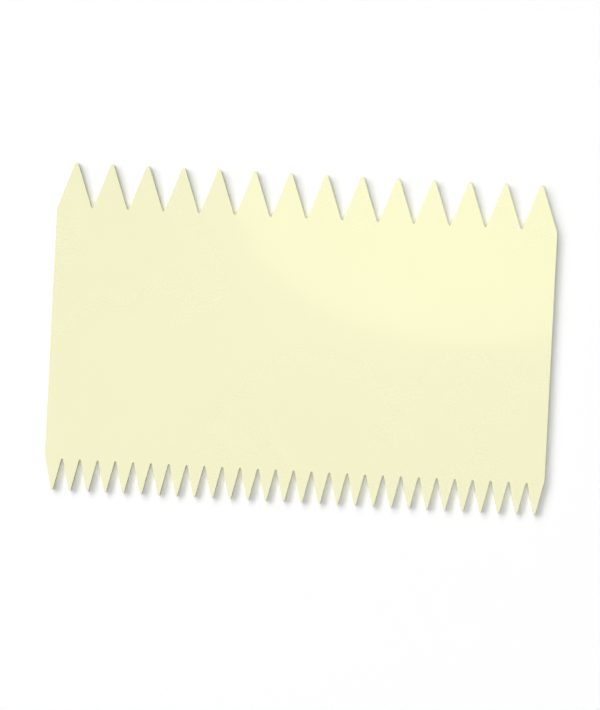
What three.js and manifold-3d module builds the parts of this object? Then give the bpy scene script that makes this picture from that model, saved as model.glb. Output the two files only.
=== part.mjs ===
// A two-edged cake comb: one thin moulded plastic plate with coarse teeth along one long edge and fine
// teeth along the other. It lies flat on its back with the coarse teeth pointing along +Y, and its origin
// is under the middle of its outline. The moulding is divided at its two root lines into the blade and
// the teeth, which meet face to face. Lengths are in millimetres and +Z is up.

import * as THREE from "three";
import { mergeVertices } from "three/addons/utils/BufferGeometryUtils.js";
import Module from "manifold-3d";

const wasm = await Module();
wasm.setup();

// Driving dimensions
const WIDTH = 112; // along the toothed edges
const BLADE_HEIGHT = 55.3; // from one root line to the other
const THICKNESS = 1.5;
const COARSE_COUNT = 14;
const COARSE_DEPTH = 10.4; // from root line to tip
const COARSE_TIP_RADIUS = 0.5;
const FINE_COUNT = 28;
const FINE_DEPTH = 7.7; // from root line to tip
const FINE_TIP_RADIUS = 0.3;
const EDGE_RADIUS = 0.2; // rounding of the free edges, where the faces meet the outline

// Flat facets that stand for a round stretch
const TIP_FACETS = 6;
const EDGE_FACETS = 2;

// Places that follow from the dimensions
const COMB_HEIGHT = COARSE_DEPTH + BLADE_HEIGHT + FINE_DEPTH;
const COARSE_ROOT_Y = COMB_HEIGHT / 2 - COARSE_DEPTH;
const FINE_ROOT_Y = FINE_DEPTH - COMB_HEIGHT / 2;

// Each piece is first made longer than it is by this much past a root line, so that its edge rounding
// runs straight across the line where it is then cut off.
const OVERRUN = 2 * EDGE_RADIUS;

const creamPlastic = new THREE.MeshStandardMaterial({ color: 0xf6f4cc, roughness: 0.45, metalness: 0 });

// A geometry as a solid that can be cut.
function toSolid(geometry) {
  const bare = geometry.clone();
  bare.deleteAttribute("normal");
  bare.deleteAttribute("uv");
  const merged = mergeVertices(bare);
  const vertProperties = Float32Array.from(merged.getAttribute("position").array);
  const triVerts = Uint32Array.from(merged.getIndex().array);
  return new wasm.Manifold(new wasm.Mesh({ numProp: 3, vertProperties, triVerts }));
}

// A cut solid as a geometry again.
function toGeometry(solid) {
  const mesh = solid.getMesh();
  const geometry = new THREE.BufferGeometry();
  geometry.setAttribute("position", new THREE.BufferAttribute(mesh.vertProperties, 3));
  geometry.setIndex(new THREE.BufferAttribute(mesh.triVerts, 1));
  geometry.computeVertexNormals();
  return geometry;
}

// A plate of the comb's thickness, standing on z = 0, with the given outline and rounded edges.
function roundedPlate(outline) {
  const plate = new THREE.ExtrudeGeometry(outline, {
    depth: THICKNESS - 2 * EDGE_RADIUS,
    curveSegments: TIP_FACETS / 2, // an arc is drawn with two facets for each curve segment
    bevelThickness: EDGE_RADIUS,
    bevelSize: EDGE_RADIUS,
    bevelOffset: -EDGE_RADIUS,
    bevelSegments: EDGE_FACETS,
  });
  plate.translate(0, 0, EDGE_RADIUS);
  return plate;
}

// The stretch of a plate between two places along Y, cut off square at both by a slab that is wider and
// thicker than the plate.
function stretchOf(plate, lowY, highY) {
  const slab = new THREE.BoxGeometry(2 * WIDTH, highY - lowY, 2 * THICKNESS);
  slab.translate(0, (lowY + highY) / 2, THICKNESS / 2);
  return toGeometry(toSolid(plate).intersect(toSolid(slab)));
}

// The flat plate between the two rows of teeth, with rounded edges at its two ends.
function bladeGeometry() {
  const outline = new THREE.Shape();
  outline.moveTo(-WIDTH / 2, FINE_ROOT_Y - OVERRUN);
  outline.lineTo(WIDTH / 2, FINE_ROOT_Y - OVERRUN);
  outline.lineTo(WIDTH / 2, COARSE_ROOT_Y + OVERRUN);
  outline.lineTo(-WIDTH / 2, COARSE_ROOT_Y + OVERRUN);
  return stretchOf(roundedPlate(outline), FINE_ROOT_Y, COARSE_ROOT_Y);
}

// One tooth that stands on y = 0, as wide there as the pitch, and points along +Y. Its straight flanks run
// from the ends of the pitch and touch the round tip without a corner.
function toothGeometry(pitch, depth, tipRadius) {
  const tipCentreY = depth - tipRadius;
  const towardsTipCentre = Math.atan2(pitch / 2, tipCentreY);
  const pastTipCentre = Math.asin(tipRadius / Math.hypot(pitch / 2, tipCentreY));
  const flankAngle = towardsTipCentre - pastTipCentre;
  const halfBase = pitch / 2 + OVERRUN * Math.tan(flankAngle);
  const outline = new THREE.Shape();
  outline.moveTo(-halfBase, -OVERRUN);
  outline.lineTo(halfBase, -OVERRUN);
  outline.absarc(0, tipCentreY, tipRadius, flankAngle, Math.PI - flankAngle, false);
  return stretchOf(roundedPlate(outline), 0, depth + OVERRUN);
}

// A row of equal teeth side by side that fills the comb's width, numbered along the row's own X.
function toothRow(name, count, depth, tipRadius) {
  const pitch = WIDTH / count;
  const geometry = toothGeometry(pitch, depth, tipRadius);
  const row = new THREE.Group();
  for (let i = 0; i < count; i += 1) {
    const tooth = new THREE.Mesh(geometry, creamPlastic);
    tooth.name = `${name}_${String(i + 1).padStart(2, "0")}`;
    tooth.position.x = (i + 0.5) * pitch - WIDTH / 2;
    row.add(tooth);
  }
  return row;
}

const blade = new THREE.Mesh(bladeGeometry(), creamPlastic);
blade.name = "blade";

const coarseRow = toothRow("coarse_tooth", COARSE_COUNT, COARSE_DEPTH, COARSE_TIP_RADIUS);
coarseRow.position.y = COARSE_ROOT_Y;

const fineRow = toothRow("fine_tooth", FINE_COUNT, FINE_DEPTH, FINE_TIP_RADIUS);
fineRow.position.y = FINE_ROOT_Y;
fineRow.rotation.z = Math.PI;

const comb = new THREE.Group();
comb.add(blade, coarseRow, fineRow);

export default comb;
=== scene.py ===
"""A cream plastic cake comb on a white table under soft studio light, seen from straight above.

The comb is one seamless moulding. Its main sizes come from the boxes of the frame's nodes, and the
values below add its rounding, its finish, the camera and the light. Lengths are in metres.
"""
from dataclasses import dataclass

import bpy
import numpy as np
from mathutils import Matrix, Vector


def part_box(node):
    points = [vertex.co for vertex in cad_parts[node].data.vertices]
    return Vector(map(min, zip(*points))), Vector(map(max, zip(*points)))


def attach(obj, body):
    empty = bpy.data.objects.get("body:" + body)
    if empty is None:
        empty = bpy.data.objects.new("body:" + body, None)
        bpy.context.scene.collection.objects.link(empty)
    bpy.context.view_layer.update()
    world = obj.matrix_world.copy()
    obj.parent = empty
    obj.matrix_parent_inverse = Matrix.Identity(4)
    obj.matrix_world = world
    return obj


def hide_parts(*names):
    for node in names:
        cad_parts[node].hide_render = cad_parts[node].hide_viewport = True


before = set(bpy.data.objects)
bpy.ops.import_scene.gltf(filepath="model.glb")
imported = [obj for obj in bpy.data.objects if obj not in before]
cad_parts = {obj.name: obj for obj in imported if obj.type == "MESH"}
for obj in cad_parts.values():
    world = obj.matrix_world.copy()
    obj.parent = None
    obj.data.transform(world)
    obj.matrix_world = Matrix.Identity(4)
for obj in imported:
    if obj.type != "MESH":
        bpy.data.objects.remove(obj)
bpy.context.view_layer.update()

MM = 0.001

# Rounding of the moulding
EDGE_RADIUS = 0.12 * MM
COARSE_TIP_RADIUS = 0.5 * MM
COARSE_ROOT_RADIUS = 0.25 * MM
FINE_TIP_RADIUS = 0.3 * MM
FINE_ROOT_RADIUS = 0.2 * MM

# How finely the surface is divided
EDGE_STEPS = 5  # round one edge
WALL_STEPS = 2  # down the wall between the two rounded edges
FINE_ZONE_STEPS = 8  # from the fine edge to the plain blade
BLADE_STEPS = 20  # along the plain blade
COARSE_ZONE_STEPS = 10  # from the plain blade to the coarse edge
ZONE_MARGIN = 1.0 * MM  # how far a tooth zone reaches into the blade

# The plastic
CREAM = (0.910, 0.901, 0.595)
DEEP_CREAM = (0.889, 0.876, 0.566)  # where the clouds are thickest
REFRACTION = 1.49
ROUGHNESS = 0.22
CLOUD_ROUGHNESS = 0.08  # added where the clouds are thickest
GRAIN_ROUGHNESS = 0.02  # added on the tops of the grain
SKIN_WEIGHT = 0.35  # the smooth skin that the mould leaves, which mirrors the sheen lamp
SKIN_ROUGHNESS = 0.05
BUMP_STRENGTH = 0.5
BUMP_HEIGHT = 0.2 * MM
GRAIN_SHARE = 0.002  # of the bump's height
WAVE_SHARE = 0.12

# The patterns in the plastic: noise cells in a metre, and finer layers on top of them
CLOUDS = (22.0, 3.0)
GRAIN = (2600.0, 2.0)
WAVES = (45.0, 1.0)

# The camera: the picture is 600 by 710 pixels, and its long side spans the sensor
LENS_MM = 126.8
CAMERA_HEIGHT = 559.9 * MM
CAMERA_OFFSET = (-0.15 * MM, -3.76 * MM)  # right and up in the picture, from over the comb's middle
COMB_TURN = np.radians(-2.90)  # how the comb lies in the picture, anticlockwise
COMB_TILT_X = np.radians(0.49)  # how its face leans about the picture's two axes
COMB_TILT_Y = np.radians(-1.77)

# The light: places and sizes in metres, powers in watts
SKY_STRENGTH = 0.17
LAMP_COLOUR = (1.0, 1.0, 1.0)
TOP_PLACE = (-0.557, -0.964, 7.922)
TOP_SIZE = (5.82, 5.82)
TOP_POWER = 216.71
KEY_PLACE = (-4.894, 3.688, 5.142)
KEY_SIZE = (12.50, 3.99)
KEY_POWER = 623.34
SHEEN_PLACE = (0.054, 0.0725, 0.60)  # mirrored by the comb at the picture's upper right
SHEEN_SIZE = (0.216, 0.148)
SHEEN_POWER = 0.217
SHEEN_COLOUR = (1.0, 0.95, 0.44)

# The table
FLOOR_HALF_WIDTH = 3.0
FLOOR_DROP = 0.02 * MM  # keeps the floor just clear of the comb's back
FLOOR_GREY = 1.0  # where the floor is looked at or mirrored
FLOOR_BOUNCE = 0.5  # the grey that lights the comb from below
FLOOR_LIFT = 0.045  # white added where the floor is looked at or mirrored
FLOOR_FADE_START = 0.09  # from here outwards the floor fades into the white background
FLOOR_FADE_WIDTH = 0.12


@dataclass
class ToothRow:
    """A row of equal teeth, and how many points each stretch of half a tooth's edge gets."""

    count: int
    pitch: float
    depth: float
    root_y: float
    tip_radius: float
    root_radius: float
    root_points: int
    flank_points: int
    tip_points: int


def unit(angle):
    """Unit vectors at the given angles, anticlockwise from +X."""
    return np.stack([np.cos(angle), np.sin(angle)], axis=-1)


def row_edge(row):
    """The edge of a row from -X to +X, tips up and root line at y = 0, and its outward directions.

    A flank leans just enough to run from the end of the pitch and touch the tip circle. Between two
    teeth a root circle touches both flanks. At each end of the row the flank runs straight down to
    the corner, where the outward direction is the mitre between the flank and the upright side.
    """
    half_pitch = row.pitch / 2
    tip_centre = np.array([0.0, row.depth - row.tip_radius])
    reach = np.hypot(half_pitch, tip_centre[1])
    lean = np.arctan2(half_pitch, tip_centre[1]) - np.arcsin(row.tip_radius / reach)
    root_centre = np.array([-half_pitch, row.root_radius / np.sin(lean)])
    facing = np.pi - lean
    root_turn = np.linspace(np.pi / 2, facing, row.root_points)
    tip_turn = np.linspace(facing, np.pi / 2, row.tip_points)
    root_arc = root_centre - row.root_radius * unit(root_turn)
    tip_arc = tip_centre + row.tip_radius * unit(tip_turn)
    along = np.linspace(0, 1, row.flank_points + 2)[1:-1, None]
    flank = root_arc[-1] + along * (tip_arc[0] - root_arc[-1])
    rising = np.concatenate([root_arc, flank, tip_arc])
    rising_out = unit(np.concatenate([root_turn, np.full(row.flank_points, facing), tip_turn]))

    mirror = np.array([-1.0, 1.0])
    tooth = np.concatenate([rising, (rising * mirror)[-2:0:-1]])
    tooth_out = np.concatenate([rising_out, (rising_out * mirror)[-2:0:-1]])
    centres = (np.arange(row.count) + 0.5 - row.count / 2) * row.pitch
    shifts = np.stack([centres, np.zeros(row.count)], axis=-1)
    last = rising[:1] * mirror + shifts[-1]
    points = np.concatenate([(tooth + shifts[:, None]).reshape(-1, 2), last])
    out = np.concatenate([np.tile(tooth_out, (row.count, 1)), rising_out[:1]])

    ends = row.root_points
    corner = np.array([-half_pitch, 0.0]) + shifts[0]
    flank_out = unit(facing)
    side_out = np.array([-1.0, 0.0])
    points[:ends] = corner + np.linspace(0, 1, ends)[:, None] * (points[ends - 1] - corner)
    out[:ends] = flank_out
    out[0] = (flank_out + side_out) / (1 + flank_out @ side_out)
    points[-ends:] = (points[:ends] * mirror)[::-1]
    out[-ends:] = (out[:ends] * mirror)[::-1]
    return points, out


def face_grid(low, high, blade_low, blade_high):
    """A face of the comb as a grid of points, rows by columns by two.

    Column i is the straight line from point i of the fine edge, low, to point i of the coarse edge,
    high. Between the two blade heights the rows lie level, and beyond them they close up evenly
    into the teeth.
    """
    to_blade = np.linspace(0, 1, FINE_ZONE_STEPS, endpoint=False)[:, None]
    level = np.linspace(blade_low, blade_high, BLADE_STEPS)[:, None]
    from_blade = np.linspace(0, 1, COARSE_ZONE_STEPS + 1)[1:, None]
    y = np.concatenate([
        low[:, 1] + to_blade * (blade_low - low[:, 1]),
        np.tile(level, (1, len(low))),
        blade_high + from_blade * (high[:, 1] - blade_high),
    ])
    share = (y - low[:, 1]) / (high[:, 1] - low[:, 1])
    x = low[:, 0] + share * (high[:, 0] - low[:, 0])
    return np.stack([x, y], axis=-1)


def rim_profile(thickness):
    """The rim from the upper face to the lower one: insets from the outline, heights and leans.

    It is a quarter circle, the upright wall and a quarter circle. The lean is the angle of the
    surface's normal from straight up. The points on the two faces belong to the faces and aren't
    repeated here.
    """
    bend = np.linspace(0, np.pi / 2, EDGE_STEPS + 1)[1:]
    quarter_inset = EDGE_RADIUS * (1 - np.sin(bend))
    quarter_drop = EDGE_RADIUS * (1 - np.cos(bend))
    wall_drop = np.linspace(EDGE_RADIUS, thickness - EDGE_RADIUS, WALL_STEPS + 1)[1:-1]
    inset = np.concatenate([quarter_inset, np.zeros_like(wall_drop), quarter_inset[::-1]])
    drop = np.concatenate([quarter_drop, wall_drop, thickness - quarter_drop[::-1]])
    lean = np.concatenate([bend, np.full_like(wall_drop, np.pi / 2), np.pi - bend[::-1]])
    return inset, thickness - drop, lean


def carried(flat, height):
    """Flat points or directions, rings by count by two, with a third coordinate for each ring."""
    third = np.broadcast_to(height[:, None, None], (*flat.shape[:2], 1))
    return np.concatenate([flat, third], axis=-1).reshape(-1, 3)


def comb_surface(coarse, fine, half_width, thickness):
    """The closed surface of the comb: its points, its normals, and its faces as four point numbers.

    The two faces are flat grids. The rim is a profile carried along the outline: each of its points
    is the outline moved inwards by the profile's inset, at the profile's height, and its normal
    turns from straight up to straight down by the profile's lean.
    """
    flip = np.array([1.0, -1.0])
    coarse_edge, coarse_out = row_edge(coarse)
    coarse_edge = coarse_edge + [0, coarse.root_y]
    fine_edge, fine_out = row_edge(fine)
    fine_edge = fine_edge * flip + [0, fine.root_y]
    fine_out = fine_out * flip

    grid = face_grid(
        fine_edge - EDGE_RADIUS * fine_out,
        coarse_edge - EDGE_RADIUS * coarse_out,
        fine.root_y + ZONE_MARGIN,
        coarse.root_y - ZONE_MARGIN,
    )
    rows, columns = grid.shape[:2]
    flat = grid.reshape(-1, 2)
    upper = np.pad(flat, ((0, 0), (0, 1)), constant_values=thickness)
    lower = np.pad(flat, ((0, 0), (0, 1)))

    right_side = np.stack([np.full(rows - 2, half_width), grid[1:-1, 0, 1]], axis=-1)
    right_out = np.tile([1.0, 0.0], (rows - 2, 1))
    left_side = right_side[::-1] * [-1, 1]
    outline = np.concatenate([fine_edge, right_side, coarse_edge[::-1], left_side])
    outline_out = np.concatenate([fine_out, right_out, coarse_out[::-1], -right_out])
    inset, height, lean = rim_profile(thickness)
    rim = carried(outline - inset[:, None, None] * outline_out, height)
    level_out = outline_out / np.linalg.norm(outline_out, axis=1, keepdims=True)
    rim_normals = carried(np.sin(lean)[:, None, None] * level_out, np.cos(lean))

    number = np.arange(rows * columns).reshape(rows, columns)
    border = np.concatenate([number[0], number[1:-1, -1], number[-1, ::-1], number[-2:0:-1, 0]])
    rim_number = len(upper) + np.arange(len(rim)).reshape(len(inset), len(border))
    lower_start = len(upper) + len(rim)
    rings = np.concatenate([border[None], rim_number, border[None] + lower_start])
    ahead = np.roll(rings, -1, axis=1)
    rim_faces = np.stack([rings[:-1], rings[1:], ahead[1:], ahead[:-1]], axis=-1).reshape(-1, 4)
    corners = [number[:-1, :-1], number[:-1, 1:], number[1:, 1:], number[1:, :-1]]
    upper_faces = np.stack(corners, axis=-1).reshape(-1, 4)
    lower_faces = upper_faces[:, ::-1] + lower_start
    points = np.concatenate([upper, rim, lower])
    up = np.tile([0.0, 0.0, 1.0], (len(upper), 1))
    normals = np.concatenate([up, rim_normals, -up])
    return points, normals, np.concatenate([upper_faces, rim_faces, lower_faces])


def mesh_object(name, points, normals, faces, material):
    """A smooth-shaded object at the origin, from points, their normals and four-cornered faces."""
    mesh = bpy.data.meshes.new(name)
    mesh.vertices.add(len(points))
    mesh.vertices.foreach_set("co", points.ravel())
    mesh.loops.add(faces.size)
    mesh.loops.foreach_set("vertex_index", faces.ravel())
    mesh.polygons.add(len(faces))
    mesh.polygons.foreach_set("loop_start", np.arange(0, faces.size, faces.shape[1]))
    mesh.polygons.foreach_set("use_smooth", np.ones(len(faces), dtype=bool))
    mesh.update(calc_edges=True)
    mesh.normals_split_custom_set_from_vertices(normals)
    mesh.materials.append(material)
    made = bpy.data.objects.new(name, mesh)
    bpy.context.scene.collection.objects.link(made)
    return made


class Value:
    """A node's output. Arithmetic on those that are numbers adds Math nodes to their tree."""

    def __init__(self, nodes, socket):
        self.nodes = nodes
        self.socket = socket

    def math(self, operation, left, right):
        """What the operation makes of two values or numbers."""
        return self.nodes.add("ShaderNodeMath", {"operation": operation}, {0: left, 1: right})

    def __add__(self, other):
        return self.math("ADD", self, other)

    def __sub__(self, other):
        return self.math("SUBTRACT", self, other)

    def __rsub__(self, other):
        return self.math("SUBTRACT", other, self)

    def __mul__(self, other):
        return self.math("MULTIPLY", self, other)

    def __truediv__(self, other):
        return self.math("DIVIDE", self, other)

    def __rtruediv__(self, other):
        return self.math("DIVIDE", other, self)

    def clamped(self):
        """The value, held between nought and one."""
        return self.math("MINIMUM", self.math("MAXIMUM", self, 0.0), 1.0)

    __radd__ = __add__
    __rmul__ = __mul__


class Nodes:
    """The node tree of a material or of the world, emptied."""

    def __init__(self, owner):
        owner.use_nodes = True
        self.tree = owner.node_tree
        self.tree.nodes.clear()

    def add(self, kind, settings=None, sockets=None, output=0):
        """Adds a node, sets its settings and then its sockets' values or links.

        It returns the named or numbered output, or nothing for a node without outputs.
        """
        node = self.tree.nodes.new(kind)
        for name, value in (settings or {}).items():
            setattr(node, name, value)
        for name, value in (sockets or {}).items():
            if isinstance(value, Value):
                self.tree.links.new(value.socket, node.inputs[name])
            else:
                node.inputs[name].default_value = value
        if len(node.outputs):
            return Value(self, node.outputs[output])
        return None

    def blended(self, share, first, second):
        """The colour that goes from the first to the second as the share goes from nought to one.

        A Mix node's sockets for colours share their names with others, so they go by number.
        """
        sockets = {"Factor": share, 6: (*first, 1), 7: (*second, 1)}
        return self.add("ShaderNodeMix", {"data_type": "RGBA"}, sockets, output=2)

    def seen(self):
        """One for rays from the camera, mirrored rays and transmitted ones, nought for others."""
        rays = ("Is Camera Ray", "Is Glossy Ray", "Is Transmission Ray")
        camera, mirrored, transmitted = [
            self.add("ShaderNodeLightPath", output=ray) for ray in rays
        ]
        return camera + mirrored + transmitted


def cream_plastic():
    """Satin cream plastic under a thin smooth skin.

    Broad clouds of noise deepen its colour and roughen it, and a fine grain roughens it a little
    more. The bump is a small share of the grain and a larger one of long, very low waves.
    """
    material = bpy.data.materials.new("cream_plastic")
    nodes = Nodes(material)
    place = nodes.add("ShaderNodeTexCoord", output="Object")

    def noise(scale, detail):
        sockets = {"Vector": place, "Scale": scale, "Detail": detail}
        return nodes.add("ShaderNodeTexNoise", None, sockets)

    clouds = noise(*CLOUDS)
    grain = noise(*GRAIN)
    waves = noise(*WAVES)
    bump = nodes.add("ShaderNodeBump", None, {
        "Strength": BUMP_STRENGTH,
        "Distance": BUMP_HEIGHT,
        "Height": grain * GRAIN_SHARE + waves * WAVE_SHARE,
    })
    shader = nodes.add("ShaderNodeBsdfPrincipled", None, {
        "Base Color": nodes.blended(clouds, CREAM, DEEP_CREAM),
        "Roughness": ROUGHNESS + clouds * CLOUD_ROUGHNESS + grain * GRAIN_ROUGHNESS,
        "Normal": bump,
        "IOR": REFRACTION,
        "Coat Weight": SKIN_WEIGHT,
        "Coat Roughness": SKIN_ROUGHNESS,
    })
    nodes.add("ShaderNodeOutputMaterial", None, {"Surface": shader})
    return material


def white_table():
    """A pale matt floor that keeps the comb's shadow and fades into the white background.

    The fade goes from nought to one over its width, by the distance from the comb's middle.
    """
    material = bpy.data.materials.new("white_table")
    nodes = Nodes(material)
    seen = nodes.seen()
    place = nodes.add("ShaderNodeTexCoord", output="Object")
    length = {"operation": "LENGTH"}
    distance = nodes.add("ShaderNodeVectorMath", length, {0: place}, output="Value")
    fade = ((distance - FLOOR_FADE_START) / FLOOR_FADE_WIDTH).clamped()
    grey = nodes.blended(seen, [FLOOR_BOUNCE] * 3, [FLOOR_GREY] * 3)
    matt = nodes.add("ShaderNodeBsdfDiffuse", None, {"Color": grey})
    lift = nodes.add("ShaderNodeEmission", None, {"Strength": seen * FLOOR_LIFT})
    lifted = nodes.add("ShaderNodeAddShader", None, {0: matt, 1: lift})
    white = nodes.add("ShaderNodeEmission", None, {"Strength": seen})
    faded = nodes.add("ShaderNodeMixShader", None, {0: fade, 1: lifted, 2: white})
    nodes.add("ShaderNodeOutputMaterial", None, {"Surface": faded})
    return material


def add_floor():
    """The table top: one large flat square just under the comb."""
    square = np.array([[-1, -1], [1, -1], [1, 1], [-1, 1]]) * FLOOR_HALF_WIDTH
    points = np.pad(square, ((0, 0), (0, 1)), constant_values=-FLOOR_DROP)
    up = np.tile([0.0, 0.0, 1.0], (len(points), 1))
    floor = mesh_object("table_top", points, up, np.array([[0, 1, 2, 3]]), white_table())


def add_sky():
    """Even soft light from all round, plain white where the background is looked at or mirrored."""
    world = bpy.data.worlds.new("studio")
    nodes = Nodes(world)
    strength = SKY_STRENGTH + nodes.seen() * (1 - SKY_STRENGTH)
    sockets = {"Color": (1, 1, 1, 1), "Strength": strength}
    background = nodes.add("ShaderNodeBackground", None, sockets)
    nodes.add("ShaderNodeOutputWorld", None, {"Surface": background})
    bpy.context.scene.world = world


def add_lamp(name, place, size, power, colour, mirrored):
    """An oval soft lamp that faces the comb and lights it, without showing in its gloss.

    A mirrored lamp hangs level instead, and shows in the gloss alone.
    """
    lamp = bpy.data.lights.new(name, "AREA")
    lamp.shape = "ELLIPSE"
    lamp.size, lamp.size_y = size
    lamp.energy = power
    lamp.color = colour
    holder = bpy.data.objects.new(name, lamp)
    holder.location = place
    if not mirrored:
        holder.rotation_euler = Vector(place).to_track_quat("Z", "Y").to_euler()
    holder.visible_glossy = mirrored
    holder.visible_diffuse = not mirrored
    bpy.context.scene.collection.objects.link(holder)


def add_camera():
    """A camera straight above the comb, turned so that the comb lies askew in the picture.

    The comb's turn and its two tilts take it from its own frame to the camera's, so the camera's
    own turn is their inverse.
    """
    camera = bpy.data.cameras.new("camera")
    camera.lens = LENS_MM
    turn = Matrix.Rotation(COMB_TURN, 3, "Z")
    tilt = Matrix.Rotation(COMB_TILT_Y, 3, "Y") @ Matrix.Rotation(COMB_TILT_X, 3, "X")
    to_world = (tilt @ turn).transposed()
    place = to_world @ Vector((*CAMERA_OFFSET, CAMERA_HEIGHT))
    holder = bpy.data.objects.new("camera", camera)
    holder.matrix_world = Matrix.Translation(place) @ to_world.to_4x4()
    bpy.context.scene.collection.objects.link(holder)
    bpy.context.scene.camera = holder


def add_comb():
    """The whole comb as one seamless piece, in place of the blade and the separate teeth."""
    blade_low, blade_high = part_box("blade")
    coarse_low, coarse_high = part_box("coarse_tooth_01")
    fine_low, fine_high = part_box("fine_tooth_01")
    names = sorted(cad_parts)

    # Both rows come to the same number of points, since each column of a face joins two of them.
    coarse = ToothRow(
        count=sum(name.startswith("coarse_tooth") for name in names),
        pitch=coarse_high.x - coarse_low.x,
        depth=coarse_high.y - coarse_low.y,
        root_y=blade_high.y,
        tip_radius=COARSE_TIP_RADIUS,
        root_radius=COARSE_ROOT_RADIUS,
        root_points=4,
        flank_points=11,
        tip_points=6,
    )
    fine = ToothRow(
        count=sum(name.startswith("fine_tooth") for name in names),
        pitch=fine_high.x - fine_low.x,
        depth=fine_high.y - fine_low.y,
        root_y=blade_low.y,
        tip_radius=FINE_TIP_RADIUS,
        root_radius=FINE_ROOT_RADIUS,
        root_points=3,
        flank_points=4,
        tip_points=4,
    )
    points, normals, faces = comb_surface(coarse, fine, blade_high.x, blade_high.z - blade_low.z)
    comb = mesh_object("comb_moulding", points, normals, faces, cream_plastic())
    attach(comb, "root")
    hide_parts(*names)


bpy.context.scene.view_settings.view_transform = "Standard"
add_camera()
add_comb()
add_floor()
add_sky()
add_lamp("top_lamp", TOP_PLACE, TOP_SIZE, TOP_POWER, LAMP_COLOUR, mirrored=False)
add_lamp("key_lamp", KEY_PLACE, KEY_SIZE, KEY_POWER, LAMP_COLOUR, mirrored=False)
add_lamp("sheen_lamp", SHEEN_PLACE, SHEEN_SIZE, SHEEN_POWER, SHEEN_COLOUR, mirrored=True)
